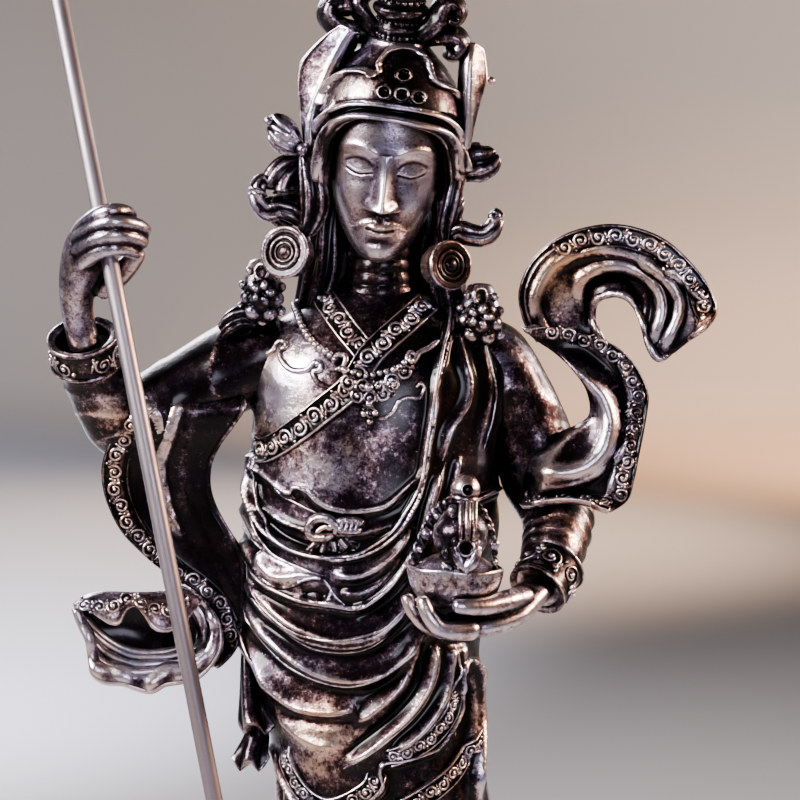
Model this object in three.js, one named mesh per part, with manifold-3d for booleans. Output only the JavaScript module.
// A standing robed master in cast white metal: lotus hat, raised fist round a loose staff,
// skull cup in the other hand, wide sleeves that fly out, on a low lotus plinth.
// Millimetres, +Z up, the front towards -Y, origin at the middle of the plinth's underside.
import * as THREE from "three";
import { mergeVertices } from "three/addons/utils/BufferGeometryUtils.js";
import Module from "manifold-3d";

const wasm = await Module();
wasm.setup();

// Driving dimensions
const PLINTH = { height: 24, halfWidth: 46, halfDepth: 37, petals: 16 };
const STAFF = { radius: 1.7, gap: 0.3, foot: [-15.2, -25.8], lean: [-0.1868, 0.03], top: 283 };
const HEAD = { centre: [5.1, -3, 219.6], roll: 5.5, pitch: 14, chin: -16.5, crown: 20 };
const CUP = { centre: [19, -30.5, 135.2], halfWidth: 10.4, halfDepth: 8.6, height: 7.4 };
const REST_GAP = 0.3;

const DEGREE = Math.PI / 180;
const clamp = (x, low, high) => Math.min(high, Math.max(low, x));
const smooth = (x) => {
  const t = clamp(x, 0, 1);
  return t * t * (3 - 2 * t);
};
const bell = (x, width) => Math.exp(-((x / width) ** 2));

// Rows of numbers whose first one is a key; the rest are read off smoothly between rows.
function track(rows, key) {
  const k = clamp(key, rows[0][0], rows[rows.length - 1][0]);
  let i = 0;
  while (i < rows.length - 2 && rows[i + 1][0] < k) i++;
  const [a, b] = [rows[i], rows[i + 1]];
  const [before, after] = [rows[Math.max(0, i - 1)], rows[Math.min(rows.length - 1, i + 2)]];
  const span = b[0] - a[0];
  const t = (k - a[0]) / span;
  return a.slice(1).map((value, n) => {
    const c = n + 1;
    const slopeA = ((b[c] - before[c]) / (b[0] - before[0])) * span;
    const slopeB = ((after[c] - a[c]) / (after[0] - a[0])) * span;
    const rise = b[c] - value;
    return value + t * (slopeA + t * (3 * rise - 2 * slopeA - slopeB + t * (slopeA + slopeB - 2 * rise)));
  });
}

// The same with evenly spaced rows and t from 0 to 1.
const through = (rows, t) => track(rows.map((row, i) => [i, ...row]), t * (rows.length - 1));

// Points along a smooth line through a few places.
function traced(places, perSpan = 4) {
  const count = (places.length - 1) * perSpan;
  return Array.from({ length: count + 1 }, (_, i) => through(places, i / count));
}

// How far a place is from a traced line, and how far along the line the nearest spot is.
function nearest(line, x, z) {
  let best = { gap: Infinity, along: 0 };
  for (let i = 0; i < line.length - 1; i++) {
    const [ax, az] = line[i];
    const [bx, bz] = [line[i + 1][0] - ax, line[i + 1][1] - az];
    const t = clamp(((x - ax) * bx + (z - az) * bz) / (bx * bx + bz * bz), 0, 1);
    const gap = Math.hypot(x - ax - t * bx, z - az - t * bz);
    if (gap < best.gap) best = { gap, along: (i + t) / (line.length - 1) };
  }
  return best;
}

function inside(outline, x, z) {
  let is = false;
  for (let i = 0, j = outline.length - 1; i < outline.length; j = i++) {
    const [[ax, az], [bx, bz]] = [outline[i], outline[j]];
    if (az > z !== bz > z && x < ((bx - ax) * (z - az)) / (bz - az) + ax) is = !is;
  }
  return is;
}

// A closed geometry as a solid, its shared vertices merged and its faces turned outwards.
function solidOf(geometry) {
  geometry.deleteAttribute("normal");
  geometry.deleteAttribute("uv");
  const merged = mergeVertices(geometry, 1e-4);
  const place = merged.attributes.position.array;
  const faces = [];
  let volume = 0;
  for (let i = 0; i < merged.index.count; i += 3) {
    const [a, b, c] = merged.index.array.subarray(i, i + 3);
    if (a === b || b === c || c === a) continue;
    faces.push(a, b, c);
    const [p, q, r] = [a, b, c].map((n) => new THREE.Vector3().fromArray(place, n * 3));
    volume += p.dot(q.cross(r));
  }
  if (volume < 0) {
    for (let i = 0; i < faces.length; i += 3) [faces[i], faces[i + 1]] = [faces[i + 1], faces[i]];
  }
  const mesh = { numProp: 3, vertProperties: place, triVerts: new Uint32Array(faces) };
  return new wasm.Manifold(new wasm.Mesh(mesh));
}

const joined = (solids) => solids.reduce((whole, piece) => whole.add(piece));

// A turned or lofted piece: spot(angle, share, radius) places each vertex of a capped cylinder.
// Angle 0 is the front, towards -Y, and a quarter turn is towards +X.
function lofted(around, up, spot) {
  const geometry = new THREE.CylinderGeometry(1, 1, 1, around, up);
  const place = geometry.attributes.position;
  for (let i = 0; i < place.count; i++) {
    const [x, y, z] = [place.getX(i), place.getY(i), place.getZ(i)];
    place.setXYZ(i, ...spot(Math.atan2(x, z), y + 0.5, Math.hypot(x, z) > 0.5 ? 1 : 0));
  }
  return solidOf(geometry);
}

// A tube through rows of [x, y, z, radius] or [x, y, z, radius, other radius], with round ends.
// The first radius lies along `side`, the other across it.
function tube(rows, { around = 8, up = 8, side = [0, 0, 1], round = 0.1 } = {}) {
  const towards = new THREE.Vector3(...side);
  const step = 0.01;
  return lofted(around, up, (angle, share, r) => {
    const [x, y, z, wide, deep = wide] = through(rows, share);
    const ahead = new THREE.Vector3(...through(rows, Math.min(1, share + step)).slice(0, 3));
    const behind = new THREE.Vector3(...through(rows, Math.max(0, share - step)).slice(0, 3));
    const line = ahead.sub(behind).normalize();
    const first = towards.clone().addScaledVector(line, -towards.dot(line)).normalize();
    const second = new THREE.Vector3().crossVectors(line, first);
    const end = clamp((Math.abs(2 * share - 1) - 1 + round) / Math.max(round, 1e-6), 0, 1);
    const swell = r * Math.sqrt(Math.max(0.12, 1 - end * end));
    return new THREE.Vector3(x, y, z)
      .addScaledVector(first, Math.cos(angle) * wide * swell)
      .addScaledVector(second, Math.sin(angle) * deep * swell)
      .toArray();
  });
}

// A cloth or metal sheet with thickness: surface(s, t) gives its middle.
function sheet(surface, thickness, across, along) {
  const geometry = new THREE.BoxGeometry(1, 1, 1, across, along, 1);
  const place = geometry.attributes.position;
  const step = 0.01;
  const at = (s, t) => new THREE.Vector3(...surface(s, t));
  for (let i = 0; i < place.count; i++) {
    const [s, t, side] = [place.getX(i) + 0.5, place.getY(i) + 0.5, place.getZ(i) * thickness];
    const acrossLine = at(Math.min(1, s + step), t).sub(at(Math.max(0, s - step), t));
    const alongLine = at(s, Math.min(1, t + step)).sub(at(s, Math.max(0, t - step)));
    const out = acrossLine.cross(alongLine).normalize();
    place.setXYZ(i, ...at(s, t).addScaledVector(out, side).toArray());
  }
  return solidOf(geometry);
}

const ball = (x, y, z, radius, sides = 6) =>
  solidOf(new THREE.SphereGeometry(radius, sides, 4).translate(x, y, z));

// Body and robe

// Height, centre x and y, half width, half depth.
const ROBE = [
  [26, 3.5, 1, 28, 20.5],
  [40, 3.5, 1, 26, 19],
  [60, 4, 0.5, 23.6, 17.5],
  [85, 4.2, 0, 21.6, 16.8],
  [105, 2.8, 0, 21.2, 17],
  [120, 0.6, 0, 23, 18],
  [134, 1.2, 0, 24.2, 18.8],
  [148, 2.6, 0, 25.4, 18.5],
  [160, 2.6, 0, 24.2, 17.8],
  [172, 3.4, 0, 24.6, 17.2],
  [181, 3.4, 0.5, 25.4, 16],
  [188, 3.2, 1, 20.4, 13],
  [193, 3, 1.5, 13, 10.4],
  [197, 3, 1.8, 8, 8],
  [207, 3.8, 1.2, 6.6, 6.8],
];

// Edges of cloth seen from the front: the cloth lies above its line and stands proud of what is below.
const BELLY_OPENING = [[-20.8, 172], [-20.4, 157], [-16, 148.2], [-5, 144.3], [4, 146.6], [10, 154],
  [13.2, 167], [15, 180], [18, 194]];
const UPPER_HEM = [[-27, 150], [-22.4, 145], [-17.2, 138.2], [-9, 135], [-1.6, 134], [4.8, 137.4],
  [9.8, 145.2], [16, 152], [30, 158]];
const ROBE_HEM = [[-30, 112], [-18.5, 107], [-14, 96.2], [-6, 86.8], [1, 89], [4.9, 96.5], [4.6, 101.6],
  [10, 103.4], [15.4, 105.8], [20.2, 114], [19.8, 121], [23, 124], [32, 122]];

// Ridges of the folds: places along each, how far it stands out, and its half width.
const FOLDS = [
  { line: [[-23.4, 159], [-22.8, 153], [-18.6, 146.8]], rise: 1.0, wide: 1.0 },
  { line: [[-17.6, 146], [-13.8, 143.4], [-8, 141]], rise: 1.1, wide: 1.0 },
  { line: [[-18.4, 144.8], [-19.2, 141.4], [-14.4, 138.4], [-8, 141], [-4.2, 136.6], [-1.6, 134.4]],
    rise: 1.2, wide: 0.9 },
  { line: [[-3, 139.2], [2.4, 140.8], [6, 143.8], [9.8, 150.6]], rise: 1.3, wide: 1.4 },
  { line: [[-21.2, 140.6], [-18.8, 136.6], [-13.8, 131.6], [-8, 128.8], [-3, 127.8], [2.4, 128.8],
    [6.6, 131.6], [10, 136.6]], rise: 1.5, wide: 1.0 },
  { line: [[-21.6, 138.8], [-17.2, 132.4], [-12, 128.2], [-0.8, 125.8], [4.2, 128], [8, 132.4]],
    rise: 1.4, wide: 0.9 },
  { line: [[-22.6, 136.6], [-17.2, 128], [-12, 123.4], [-6.6, 120.6], [-0.8, 119.7], [4.2, 121],
    [8, 123.8], [12.4, 130]], rise: 1.5, wide: 1.3 },
  { line: [[-23.4, 133], [-20.8, 125.2], [-17.2, 119.2], [-13, 115.2], [-8, 113.6], [-0.4, 114.2]],
    rise: 1.5, wide: 1.2 },
  { line: [[-23.4, 131.8], [-21.6, 121], [-19.4, 113.8], [-18.4, 107.5]], rise: 1.4, wide: 1.1 },
  { line: [[14.4, 130], [13.2, 118.4], [9.4, 112.6], [4.4, 108], [-3.6, 102.4]], rise: 1.6, wide: 1.2 },
  { line: [[18.2, 128], [16.6, 117.2], [13.2, 111.2], [6.4, 104.2]], rise: 1.6, wide: 1.1 },
  { line: [[19.8, 189], [20.2, 182.6], [21.8, 179], [18, 171.8], [14.8, 163]], rise: 1.3, wide: 0.9 },
  { line: [[23.4, 188], [23.4, 180.4], [22.4, 170], [19, 158]], rise: 1.3, wide: 1.0 },
  { line: [[17.5, 163], [15, 152], [12, 146]], rise: 1.2, wide: 1.1 },
  { line: [[21, 160], [18.5, 148], [14, 139]], rise: 1.2, wide: 1.2 },
  { line: [[23.4, 120], [23, 108], [22.6, 92]], rise: 1.2, wide: 1.2 },
].map((fold) => ({ ...fold, line: traced(fold.line) }));

const LAYERS = [
  { line: BELLY_OPENING, close: [], height: -1.5, rim: 0.7 },
  { line: UPPER_HEM, close: [[60, 230], [-60, 230]], height: 1.2, rim: 0.5 },
  { line: ROBE_HEM, close: [[60, 230], [-60, 230]], height: 1.6, rim: 0.5 },
].map((layer) => {
  const line = traced(layer.line);
  return { ...layer, line, outline: [...line, ...layer.close] };
});

const PLEATS = { count: 17, rise: 0.9, foot: 28, head: 100 };
const BACK_PLEATS = { count: 11, rise: 1.1 };

// How far the cloth stands out from the robe's plain form, at an angle round it and a height.
function relief(angle, x, z) {
  const front = smooth((Math.cos(angle) + 0.05) / 0.3);
  let out = 0;
  for (const { line, outline, height, rim } of LAYERS) {
    const { gap } = nearest(line, x, z);
    const within = inside(outline, x, z) ? gap : -gap;
    const edge = Math.abs(height) / 2;
    out += height * smooth(0.5 + within / (2 * edge)) + rim * bell(within - Math.sign(height) * 0.6, 0.8);
  }
  for (const { line, rise, wide } of FOLDS) {
    const { gap, along } = nearest(line, x, z);
    out += rise * smooth(along / 0.15) * smooth((1 - along) / 0.15) * bell(gap, wide * 1.5);
  }
  const below = inside(LAYERS[2].outline, x, z) ? 0 : smooth((PLEATS.head - z) / 8);
  out += PLEATS.rise * below * Math.cos(angle * PLEATS.count) * smooth((z - PLEATS.foot) / 4);
  const sway = angle * BACK_PLEATS.count + z * 0.03;
  const back = BACK_PLEATS.rise * Math.cos(sway) * smooth((190 - z) / 20) * smooth((z - PLEATS.foot) / 6);
  return front * out + (1 - front) * back;
}

function body() {
  const [low, high] = [ROBE[0][0], ROBE[ROBE.length - 1][0]];
  const crowd = 0.42;
  return lofted(22, 34, (turn, share, r) => {
    const angle = turn - crowd * Math.sin(turn);
    const z = low + (high - low) * share;
    const [cx, cy, wide, deep] = track(ROBE, z);
    const [x, y] = [cx + wide * Math.sin(angle), cy - deep * Math.cos(angle)];
    if (!r) return [cx, cy, z];
    const out = relief(angle, x, z) * smooth((high - 10 - z) / 6);
    return [x + out * Math.sin(angle), y - out * Math.cos(angle), z];
  });
}

// Boots under the hem, toes turned out.
function boot(side) {
  const x = 3.5 + side * 9;
  const toe = x + side * 7;
  return tube([
    [x - side * 1, 6, 31, 6.5, 6], [x, -4, 31, 7, 6], [x + side * 3, -14, 29.5, 5.6, 5.8],
    [toe, -24.5, 28, 3.6, 4.4], [toe + side * 1, -29, 29, 1.8, 2.2],
  ], { around: 8, up: 6, side: [0, 0, 1], round: 0.12 });
}

// Ends of a girdle that hang at the hip, one below the other, each flaring to a pleated mouth.
function hipFall(rows) {
  return lofted(10, 5, (angle, share, r) => {
    const [x, y, z, wide] = through(rows, share);
    const pleat = 1 + 0.28 * Math.cos(angle * 5) * share;
    return [x + r * wide * pleat * Math.sin(angle), y - r * 0.7 * wide * pleat * Math.cos(angle), z];
  });
}

// Arms

const SHOULDER_SEEN_LEFT = [-23, 1, 181];
const ELBOW_SEEN_LEFT = [-47.5, -1, 168.5];
const CUFF_SEEN_LEFT = [-55.4, -11.5, 187.5];

function armWithStaff() {
  const upper = tube([[-14, 2, 184, 8, 9], [...SHOULDER_SEEN_LEFT, 9.4, 9.6], [-35, 0, 174.5, 8.8, 9],
    [-43, -1, 170, 8.8, 8.6], [...ELBOW_SEEN_LEFT, 7.4, 7.4]], { around: 10, up: 6 });
  const fore = tube([[-43, 1, 164, 4, 4], [...ELBOW_SEEN_LEFT, 7.6, 8], [-51.8, -5, 176, 7.2, 7.2],
    [-54.4, -8.4, 181.6, 6.6, 6.6], [...CUFF_SEEN_LEFT, 7.2, 7.2]], { around: 10, up: 6, round: 0.02, side: [1, 0, 0] });
  return [upper, fore];
}

// The fist: the hand rises from the cuff, four fingers wrap the staff, the thumb meets them.
function fist() {
  const palm = tube([[-56, -10.4, 184, 3.4, 4], [-56.4, -11.6, 190, 3.6, 4.4], [-55.8, -13.4, 197, 4.2, 5],
    [-54, -15.4, 203, 4.6, 5.4], [-52, -16.4, 208, 3.8, 4.4]], { around: 8, up: 5, side: [1, 0, 0] });
  const thumb = tube([[-55, -11, 191, 2.2], [-50.4, -12.4, 194.6, 2.2], [-46.6, -15, 199.6, 1.9],
    [-45, -18.4, 202.6, 1.5]], { around: 6, up: 4 });
  const fingers = [0, 1, 2, 3].map((n) => {
    const [drop, reach] = [n * 2.6, [-1.4, 2.2, 1.6, -0.8][n]];
    return tube([[-57, -15.6, 207 - drop, 1.8], [-54.4, -20, 210 - drop, 1.6], [-50.4, -23.3, 211.4 - drop, 1.45],
      [-46.4 + reach * 0.4, -22.8, 211 - drop, 1.35], [-43.6 + reach, -19.8, 208.6 - drop, 1.25]],
      { around: 6, up: 5, side: [0, 0, 1], round: 0.14 });
  });
  return [palm, thumb, ...fingers];
}

// The sleeve over the other arm widens from the shoulder to a broad hem; the forearm comes out of it.
function armWithCup() {
  const sleeve = tube([[17, 1, 184, 7.4, 8], [25.6, 1, 181, 8.6, 9], [31.6, 1, 173, 8.2, 9], [35.6, 0.6, 165, 9, 9.6],
    [40.6, -1.4, 157, 11, 10], [43, -4, 151.6, 11.4, 10]], { around: 12, up: 6, side: [1, 0, 0], round: 0.01 });
  const fore = tube([[42, 2, 154, 7, 7], [40.4, -5, 149.4, 7.4, 7.4], [38.4, -12, 144, 6.4, 6.4],
    [36.4, -18.5, 140, 5.2, 5.2], [34.8, -23.5, 138, 4.8, 4.8]], { around: 9, up: 5, round: 0.02 });
  return [sleeve, fore];
}

function openHand() {
  const palm = tube([[37, -21.5, 138.6, 3.2, 3.4], [32, -26.5, 133.8, 2.8, 4], [25, -30.5, 130.4, 2.2, 5],
    [16, -32, 129.4, 1.8, 5.4], [10.4, -32.4, 130.6, 1.5, 5]], { around: 8, up: 5, side: [0, 0, 1] });
  const thumb = tube([[35, -25, 136.5, 2.2], [29, -32, 135, 1.7], [23, -37, 134.3, 1.45], [18.2, -39, 134.4, 1.3]],
    { around: 6, up: 4 });
  const fingers = [0, 1, 2, 3].map((n) => tube([[17, -37.6 + 3 * n, 129.2, 1.5], [11.6, -37.8 + 3 * n, 129.6, 1.5],
    [8.8, -37.2 + 3 * n, 132.8, 1.35], [9 - 0.4 * n, -36 + 2.8 * n, 137.4, 1.15]], { around: 6, up: 4, round: 0.14 }));
  return [palm, thumb, ...fingers];
}

// Skull cup, the vase that stands in it, its drape and its jewel

function cupAndVase() {
  const [cx, cy, low] = CUP.centre;
  const profile = [[0, -1.6], [0.45, -1.5], [0.78, 0], [0.97, 3.2], [1, CUP.height - 1.4], [0.97, CUP.height],
    [0.88, CUP.height], [0.82, CUP.height - 1.8], [0, CUP.height - 1.4]];
  const bowl = solidOf(new THREE.LatheGeometry(profile.map(([r, z]) => new THREE.Vector2(r, z)), 12)
    .rotateX(Math.PI / 2).scale(CUP.halfWidth, CUP.halfDepth, 1).translate(cx, cy, low));
  const vase = [[0, 5], [2.4, 5], [2.2, 7.4], [4.2, 10.4], [4.4, 13], [3, 15.6], [1.6, 17], [2.4, 19.4], [0, 19.6]];
  const pot = solidOf(new THREE.LatheGeometry(vase.map(([r, z]) => new THREE.Vector2(r, z)), 8)
    .rotateX(Math.PI / 2).translate(cx + 1.4, cy - 0.5, low));
  const jewel = [[0, 18.6], [2, 18.8], [3, 20.6], [2.9, 22.6], [1.7, 25], [0, 26.6]];
  const top = solidOf(new THREE.LatheGeometry(jewel.map(([r, z]) => new THREE.Vector2(r, z)), 8)
    .rotateX(Math.PI / 2).translate(cx + 2, cy - 0.5, low));
  const arch = tube([[12.8, -32, 141.4, 1], [13.9, -32, 147.6, 1], [16.6, -32, 153.4, 1], [21, -32, 156.4, 1.1],
    [25, -31, 154, 1], [27, -30.5, 148, 1], [27.6, -30.5, 141.6, 1]], { around: 5, up: 8, side: [0, 1, 0] });
  const drape = tube([[21.4, -33, 156, 1.2, 2], [21.6, -35, 152, 1.1, 2.2], [21.6, -36.6, 146, 1, 2.2],
    [21.2, -37.4, 142, 0.9, 1.6], [20.6, -37.8, 139, 0.6, 0.6]], { around: 6, up: 5, side: [0, 1, 0] });
  return [bowl, pot, top, arch, drape];
}

// Flying cloth

// A piece of cloth between two edges: rows of [x, z, x, z, y] along it, pleated lengthwise.
function drapery(rows, { thick = 1.5, across = 6, along = 20, groove = 1.1, grooves = 2.5, cup = 0 }) {
  return sheet((s, t) => {
    const [ax, az, bx, bz, y] = through(rows, t);
    const w = 2 * s - 1;
    const fold = groove * Math.sin(Math.PI * grooves * w) * (1 - 0.3 * Math.abs(w));
    return [ax + (bx - ax) * s, y + fold + cup * (1 - w * w), az + (bz - az) * s];
  }, thick, across, along);
}

// The sleeve end seen on the right sweeps out, up and over in an S that ends in a drooping mouth.
const FLYING_SLEEVE = [
  [36, 160, 52.6, 152, -4], [44, 168.6, 55.8, 163.2, -4.6], [46.4, 173, 57.8, 174.6, -5], [45.2, 176.8, 56.4, 179.8, -5],
  [42, 179.8, 51.6, 185, -4.6], [37.6, 182.8, 48.4, 188.4, -4.2], [33, 187.4, 47.4, 191, -4], [31.8, 194, 47.6, 193.4, -4],
  [34.4, 201.6, 49, 194.4, -4.6], [44, 207.8, 50.8, 194.6, -5.4], [57.6, 208, 53, 193.8, -6.2], [68.4, 199.6, 55.2, 191.2, -6.8],
  [71.2, 192.4, 56.4, 187, -7], [66.6, 186.4, 59.6, 181.8, -7],
];
const flyingSleeve = () => drapery(FLYING_SLEEVE, { along: 17, groove: 1, cup: 1.8 });

// The sleeve that hangs from the raised arm, from the elbow down to where it swings out.
const HANGING_SLEEVE = [
  [-50, 180, -26, 176, -3], [-47.6, 170.6, -24, 172, -3.4], [-50.8, 163.6, -28.4, 167.4, -3.8], [-52.2, 159, -30.4, 162, -4],
  [-51.6, 154.8, -30.6, 158, -4], [-49, 149.6, -29.6, 153.2, -4], [-45, 143.8, -27.4, 147.6, -3.8], [-38.8, 138.2, -24.6, 143.2, -3.4],
  [-35.6, 133, -24, 136, -3], [-32.6, 126.4, -25, 128, -2.6], [-31.6, 121.6, -28.4, 123.4, -2.4],
];
const hangingSleeve = () => drapery(HANGING_SLEEVE, { thick: 3, across: 5, along: 9, groove: 1.2, grooves: 2.2, cup: -4 });

// Its mouth, thrown out to the left: a long loop of hem that droops to a point, the cloth going in behind it.
const THROWN_HEM = [
  [-57, 132.8, -8], [-51, 135.2, -7], [-44, 134.8, -6], [-37, 135.8, -5], [-31, 132.4, -5], [-28.6, 126, -5.6],
  [-31.4, 118.8, -7], [-40.6, 115.6, -9.4], [-46.4, 117.4, -10], [-52.4, 119.6, -10], [-54.2, 125.6, -9], [-57, 132.8, -8],
];

function sleeveThrow() {
  return lofted(20, 3, (angle, share, r) => {
    const [x, z, y] = through(THROWN_HEM, (angle / (2 * Math.PI) + 1.3) % 1);
    const root = [-30 - 4 * Math.sin(angle + 0.35), 1, 127 + 6 * Math.cos(angle + 0.35)];
    const out = Math.pow(share, 0.75);
    if (!r) return share > 0.5 ? [-40, -4, 126] : [-32, 0, 127];
    return [root[0] + (x - root[0]) * out, root[1] + (y - root[1]) * out, root[2] + (z - root[2]) * out];
  });
}

// Head

// A place in the head's own frame, turned and set on the neck.
function onHead(x, y, z) {
  const [pitch, roll] = [HEAD.pitch * DEGREE, HEAD.roll * DEGREE];
  const [back, up] = [y * Math.cos(pitch) - z * Math.sin(pitch), y * Math.sin(pitch) + z * Math.cos(pitch)];
  const [cx, cy, cz] = HEAD.centre;
  return [cx + x * Math.cos(roll) + up * Math.sin(roll), cy + back, cz - x * Math.sin(roll) + up * Math.cos(roll)];
}

// Height in the head's frame, half width, depth in front, depth behind.
const SKULL = [
  [-17, 1.6, 7.4, -1], [-15.6, 4.4, 11, 2], [-13, 6.8, 12.4, 6], [-9, 8.8, 12.9, 10], [-4, 10.3, 12.8, 13],
  [1, 11.2, 12.7, 14.5], [6, 11.6, 12.9, 15], [11, 11.5, 12.4, 15], [16, 10.6, 11, 14], [20, 8, 8, 11],
];

// What the features add to the front of the face: brow, eyes, nose, mouth, cheeks and chin.
function features(x, z) {
  const side = Math.abs(x);
  const spot = (px, pz, wide, tall) => Math.exp(-(((side - px) / wide) ** 2) - ((z - pz) / tall) ** 2);
  const bridge = smooth((6 - z) / 9.5) * smooth((z + 6) / 1.6);
  return 0.5 * spot(4.6, 5.6, 3.2, 0.9) - 1.2 * spot(4.6, 2.6, 2.8, 1.6) + 0.8 * spot(4.7, 1.9, 2.1, 1.1)
    + (0.9 + 3 * smooth((4 - z) / 8)) * bridge * bell(x, 1.5) + 1.2 * spot(1.9, -4.9, 1, 0.9)
    + 0.9 * spot(0, -8.2, 3, 0.8) + 0.9 * spot(0, -10, 2.3, 0.9) - 0.5 * spot(0, -11.8, 2.4, 0.7)
    + 0.8 * spot(0, -13.8, 2.6, 1.6) + 0.4 * spot(6.5, -3, 3, 3.2);
}

function head() {
  return lofted(16, 12, (turn, share, r) => {
    const angle = turn - 0.45 * Math.sin(turn);
    const z = HEAD.chin + (HEAD.crown - HEAD.chin) * share;
    const [wide, front, back] = track(SKULL, z);
    const cos = Math.cos(angle);
    const [x, y] = [wide * Math.sin(angle), cos > 0 ? -front * cos : -back * cos];
    if (!r) return onHead(0, (back - front) / 2, z);
    return onHead(x, y - features(x, z) * smooth(cos / 0.4), z);
  });
}

// The lotus hat: a close cap whose edge arches over the brow and dips to the ears.
const CAP = [[-4, 14.2, 13, 16], [1, 14.9, 14.4, 16.4], [8, 14.7, 15, 16.4], [13, 14.2, 14.6, 15.6], [17, 13, 13, 14],
  [21, 10.6, 10.6, 11.6], [24, 8, 8, 9], [26.4, 6, 6, 6.6], [27.4, 5.4, 5.4, 5.6]];

const capEdge = (angle) => {
  const side = Math.abs(angle) / DEGREE;
  return 14.4 - 12.6 * smooth((side - 40) / 36) - 5 * smooth((side - 90) / 60);
};

// The ogee front panel of the cap: half its width at a height.
const PANEL = [[14, 12.8], [16.4, 11.4], [18.4, 8.6], [19.2, 7.2], [20.4, 5.6], [22.4, 4.6], [24, 2.8], [25, 0.2]];

function cap() {
  return lofted(18, 8, (angle, share, r) => {
    const [low, high] = [capEdge(angle), CAP[CAP.length - 1][0]];
    const z = low + (high - low) * share;
    const [wide, front, back] = track(CAP, z);
    if (!r) return onHead(0, 0, share > 0.5 ? high : 6);
    const panel = Math.cos(angle) > 0 && Math.abs(wide * Math.sin(angle)) < track(PANEL, z)[0] && z < 24.8 ? 0.8 : 0;
    const rim = 0.9 * bell(z - low - 0.8, 1.2) + 0.7 * bell(z - low - 4.2, 1) + panel * (z > low + 3 ? 1 : 0);
    const cos = Math.cos(angle);
    return onHead((wide + rim) * Math.sin(angle), -(cos > 0 ? front + rim : back + rim) * cos, z);
  });
}

// Above the cap: a beaded ring, a collar, a vase and a jewel.
function finial() {
  const profile = [[0, 25], [5.6, 25], [5.8, 26.6], [4.8, 27.4], [4.4, 28.6], [5.2, 30.2], [6.2, 31.6], [5.6, 33.2],
    [3.6, 34.6], [3, 36.4], [4.2, 38.4], [3.8, 41], [1.8, 43.6], [0, 45.6]];
  const turned = new THREE.LatheGeometry(profile.map(([r, z]) => new THREE.Vector2(r, z)), 10).rotateX(Math.PI / 2);
  const place = turned.attributes.position;
  for (let i = 0; i < place.count; i++) {
    place.setXYZ(i, ...onHead(place.getX(i), place.getY(i), place.getZ(i)));
  }
  return solidOf(turned);
}

// Scrolls of ribbon beside the finial.
function topScrolls() {
  const left = tube([[3, -9, 246, 1.4], [-1, -8, 250, 1.6], [-4.6, -8, 254.4, 1.7], [-5.4, -8.4, 250.4, 1.9],
    [-3.4, -8.4, 248, 1.5]], { around: 5, up: 6, side: [0, 1, 0] });
  const right = tube([[13, -9, 249, 1.4], [16.4, -8, 247, 1.7], [20, -8, 245.4, 1.9], [21, -8, 248.6, 1.5],
    [17, -8, 250.6, 1.4], [16, -8, 254, 1.4], [18.6, -8, 254.6, 1.3]], { around: 5, up: 8, side: [0, 1, 0] });
  return [left, right];
}

// The upturned side leaves of the hat, each a plate bent along its middle.
function hatLeaf(rows, bend) {
  return sheet((s, t) => {
    const [ax, ay, az, bx, by, bz] = through(rows, t);
    const ridge = bend * (1 - Math.abs(2 * s - 1)) * Math.sin(Math.PI * (0.1 + 0.85 * t));
    return [ax + (bx - ax) * s, ay + (by - ay) * s - ridge, az + (bz - az) * s];
  }, 1.5, 4, 5);
}

function hatLeaves() {
  const left = [[-10.6, -5, 225, -9, -10, 224.6], [-11.8, -4, 232.4, -8.2, -12, 231.8], [-12.4, -3.4, 238.4, -6.6, -12.6, 237.4],
    [-11.8, -3.4, 242.6, -4.6, -12.6, 242.4], [-8, -3.4, 246.6, -2, -11, 247], [-2.6, -4.4, 250.4, 0, -7.6, 249.4]];
  const right = [[18.8, -6, 221.6, 18, -11, 221.8], [21.4, -3, 228, 18, -13, 229], [23.2, -1, 235, 18.2, -14, 236],
    [23.6, -0.6, 240.4, 18.8, -14, 241.6], [22.4, -2, 245, 19.8, -12, 246]];
  return [hatLeaf(left, 1.6), hatLeaf(right, -1.2), ball(24.8, -2, 238.6, 1.1, 6)];
}

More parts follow.
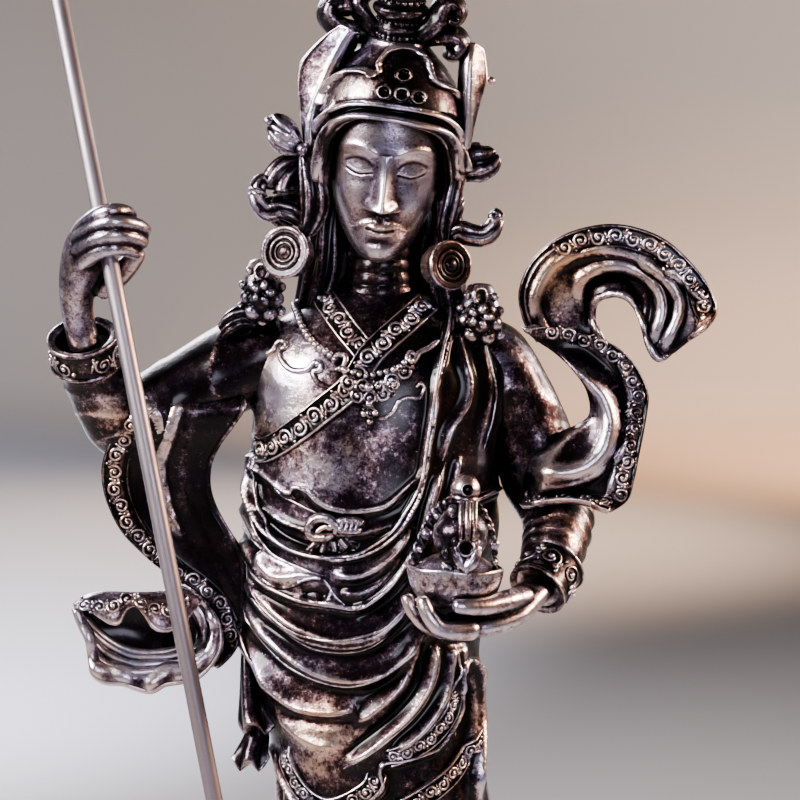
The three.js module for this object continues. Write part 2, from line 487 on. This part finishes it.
// Hair behind the ears, ear ribbons, and the ribbon ends that stand out behind the head.
function hairAndRibbons() {
  const locks = [[-1, -6.8], [1, 15.2]].map(([side, x]) => tube([[x + side * 0.5, 1, 228, 4.4, 5.4],
    [x + side * 1.4, 0, 219, 5.2, 6], [x + side * 1.6, 0, 208, 5.2, 6], [x + side * 1, 0, 199, 5.6, 6.4], [x + side * 3.2, 0, 189, 5, 6]],
    { around: 6, up: 4, side: [1, 0, 0] }));
  locks.push(tube([[5, 8, 224, 11, 6], [4.6, 9.4, 210, 12, 5.4], [4, 10, 196, 13, 5], [3.6, 11.6, 184, 11, 4.4], [3.4, 13, 173, 6, 3]],
    { around: 9, up: 5, side: [1, 0, 0] }));
  const lobes = [
    [[-9.6, -6, 224.4, 1, 1.2], [-9, -7, 219, 2.2, 1.4], [-8.4, -7, 213, 2.6, 1.4], [-8.2, -6.4, 208, 1.6, 1.2]],
    [[19.4, -6, 220.6, 1, 1.2], [18.6, -6.4, 216, 1.8, 1.4], [17.4, -6, 211, 2, 1.4], [16.4, -6, 206.4, 1.6, 1.2]],
  ].map((rows) => tube(rows, { around: 5, up: 3, side: [1, 0, 0] }));
  const standing = [
    [[-9, -3, 223, 1, 1.2], [-13.4, -3, 226, 3, 1.6], [-16, -3, 228, 2.8, 1.6], [-17.6, -3.4, 229.4, 1.2, 1]],
    [[-8, -1, 221, 2, 1.2], [-12.4, -1, 216.6, 4, 1.4], [-12, -1.4, 211, 3.6, 1.4], [-12, -2, 207, 2, 1.2]],
    [[-12, -3.4, 206, 1.6, 1.4], [-11.4, -3.4, 210.4, 1.6, 1.2], [-15, -3.4, 213.2, 1.6, 1.2], [-19, -3.4, 211.6, 1.6, 1.2],
      [-20.2, -3, 215.6, 1.4, 1.1], [-19.4, -3, 218.6, 1.2, 1]],
    [[18, -2, 220, 1.6, 1.2], [22, -2, 220.6, 3, 1.6], [25.6, -2, 222.2, 3, 1.6], [27.8, -2, 222.6, 1, 1]],
    [[16, -3, 203, 2, 1.6], [18.6, -3, 206.4, 1.9, 1.4], [22.4, -3, 207, 1.7, 1.3], [25.6, -3, 207.8, 1.5, 1.3],
      [26.6, -3, 211, 1.3, 1.2], [25.8, -3, 213, 1.2, 1.1]],
    [[15, -1, 209, 1.8, 1.4], [17, -1, 212, 1.6, 1.2], [17.6, -1, 215.4, 1, 1]],
  ].map((rows) => tube(rows, { around: 5, up: 4, side: [0, 0, 1] }));
  return [...locks, ...lobes, ...standing];
}

// An earring: a thick disc in rings, with a cluster of drops under it.
function earring(centre, towards, radius, drop) {
  const profile = [[0, -7], [0.8, -5], [1, -0.2], [0.86, 0.4], [0.74, -0.4], [0.42, -0.4], [0.34, 0.5], [0, 0.6]];
  const disc = new THREE.LatheGeometry(profile.map(([r, y]) => new THREE.Vector2(r * radius, y)), 10);
  const turn = new THREE.Quaternion().setFromUnitVectors(new THREE.Vector3(0, 1, 0), new THREE.Vector3(...towards).normalize());
  disc.applyQuaternion(turn).translate(...centre);
  const [x, y, z] = drop;
  const cluster = tube([[x, y + 1.5, z + 5.5, 2.4, 2], [x, y + 0.6, z + 2, 4.2, 2.4], [x, y + 0.6, z - 2, 4, 2.4], [x, y + 3, z - 5.6, 2.6, 2.6]],
    { around: 6, up: 3, side: [1, 0, 0] });
  const drops = [[-2, -1, -3], [1.8, -1, -3], [0, -1.6, 1.4]].map(([dx, dy, dz]) =>
    ball(x + dx, y + dy, z + dz, 1.5, 6));
  return [solidOf(disc), cluster, ...drops];
}

// The jewelled pendant on the breast.
function pendant() {
  return [
    tube([[-3.4, -16, 179.8, 1.2, 1.6], [0, -17.2, 178.6, 2.4, 2.2], [4, -17.4, 178.8, 2.6, 2.2], [8.6, -16, 181.4, 1.4, 1.6]],
      { around: 6, up: 6, side: [0, 0, 1] }),
    tube([[1.6, -17.4, 178, 2, 2], [1.6, -17.8, 174.6, 1.4, 2], [1.4, -17.6, 171.6, 0.9, 1.6]], { around: 6, up: 4, side: [1, 0, 0] }),
  ];
}

// The staff: a plain drawn rod with a small turned vase and a three-pronged head.
function staffAt(z) {
  const [fx, fy] = STAFF.foot;
  const rise = z - PLINTH.height;
  return [fx + rise * STAFF.lean[0], fy + rise * STAFF.lean[1], z];
}

function staff(radius, low, high) {
  return tube([[...staffAt(low), radius], [...staffAt((low + high) / 2), radius], [...staffAt(high), radius]],
    { around: 10, up: 1, side: [0, 1, 0], round: 0 });
}

function staffHead() {
  const [x, y, z] = staffAt(STAFF.top - 24);
  const profile = [[0, -1], [1.7, -1], [2.6, 0], [1.9, 1.2], [3.4, 3.4], [3.6, 5], [2.2, 7], [2.8, 8], [1.7, 9], [0, 9]];
  const vase = new THREE.LatheGeometry(profile.map(([r, h]) => new THREE.Vector2(r, h)), 8).rotateX(Math.PI / 2);
  const prongs = [-1, 0, 1].map((n) => tube([[0, 0, 7, 1.1, 0.9], [n * 4, 0, 11, 1.1, 0.9], [n * 5, 0, 17, 1.5, 0.8],
    [n * 3.4, 0, n ? 22 : 24, 0.4, 0.4]], { around: 5, up: 5, side: [1, 0, 0] }));
  return joined([solidOf(vase), ...prongs]).rotate([0, -11 * 1, 0]).translate([x, y, z]);
}

// The plinth: an oval lotus, two rows of petals between a foot and a rim.
function plinth() {
  const profile = [[0, 0, 0], [0, 1, 0], [2.6, 1, 0], [4, 0.95, 0], [4.6, 0.9, 0.5], [7, 0.97, 1], [10, 0.9, 0.7], [12, 0.83, 0],
    [14, 0.88, 0.7], [17, 0.95, 1], [19.4, 0.92, 0.5], [20, 0.87, 0], [22.6, 0.88, 0], [PLINTH.height, 0.86, 0], [PLINTH.height, 0, 0]];
  const last = profile.length - 3;
  return lofted(32, last, (angle, share, r) => {
    const [z, size, petal] = profile[1 + Math.round(share * last)];
    const bulge = 1 + 0.045 * petal * Math.abs(Math.cos((angle * PLINTH.petals) / 2));
    return [PLINTH.halfWidth * size * bulge * r * Math.sin(angle), -PLINTH.halfDepth * size * bulge * r * Math.cos(angle), z];
  });
}

// Assembly

function figure() {
  const whole = joined([
    body(), boot(-1), boot(1),
    hipFall([[-20.6, -4, 126, 1.6], [-21.4, -5, 119, 2.4], [-21.4, -6, 112, 3.4], [-20.6, -7, 107, 4.2]]),
    hipFall([[-19.6, -5, 110, 2.2], [-21, -6, 105, 3.2], [-21.8, -7, 101, 4]]),
    ...armWithStaff(), ...fist(), ...armWithCup(), ...openHand(), ...cupAndVase(),
    flyingSleeve(), hangingSleeve(), sleeveThrow(),
    head(), cap(), finial(), ...topScrolls(), ...hatLeaves(), ...hairAndRibbons(),
    ...earring([-15.2, -9.6, 204.8], [-0.3, -0.92, 0.24], 5.1, [-20.4, -3.4, 194.8]),
    ...earring([18.2, -9, 202], [0.5, -0.84, 0.2], 5, [24, -8, 192.6]),
    ...pendant(),
  ]);
  const floor = solidOf(new THREE.BoxGeometry(200, 200, 60).translate(0, 0, PLINTH.height + REST_GAP - 30));
  const cut = whole.subtract(floor).subtract(staff(STAFF.radius + STAFF.gap, PLINTH.height - 5, STAFF.top));
  return joined(cut.decompose().filter((shell) => shell.volume() > 1));
}

function meshOf(name, solid, material) {
  const { numProp, vertProperties, triVerts } = solid.getMesh();
  const place = new Float32Array((vertProperties.length / numProp) * 3);
  for (let i = 0; i * numProp < vertProperties.length; i++) {
    place.set(vertProperties.subarray(i * numProp, i * numProp + 3), i * 3);
  }
  const geometry = new THREE.BufferGeometry();
  geometry.setAttribute("position", new THREE.BufferAttribute(place, 3));
  geometry.setIndex(new THREE.BufferAttribute(triVerts, 1));
  geometry.computeVertexNormals();
  const mesh = new THREE.Mesh(geometry, material);
  mesh.name = name;
  return mesh;
}

const castMetal = new THREE.MeshStandardMaterial({ color: 0x5a5053, roughness: 0.36, metalness: 1 });
const rodMetal = new THREE.MeshStandardMaterial({ color: 0x9a9294, roughness: 0.3, metalness: 1 });

const statue = new THREE.Group();
const staffSolid = staff(STAFF.radius, PLINTH.height + REST_GAP, STAFF.top - 22).add(staffHead());
statue.add(meshOf("figure", figure(), castMetal));
statue.add(meshOf("staff", staffSolid, rodMetal));
statue.add(meshOf("lotus_plinth", plinth(), castMetal));

export default statue;
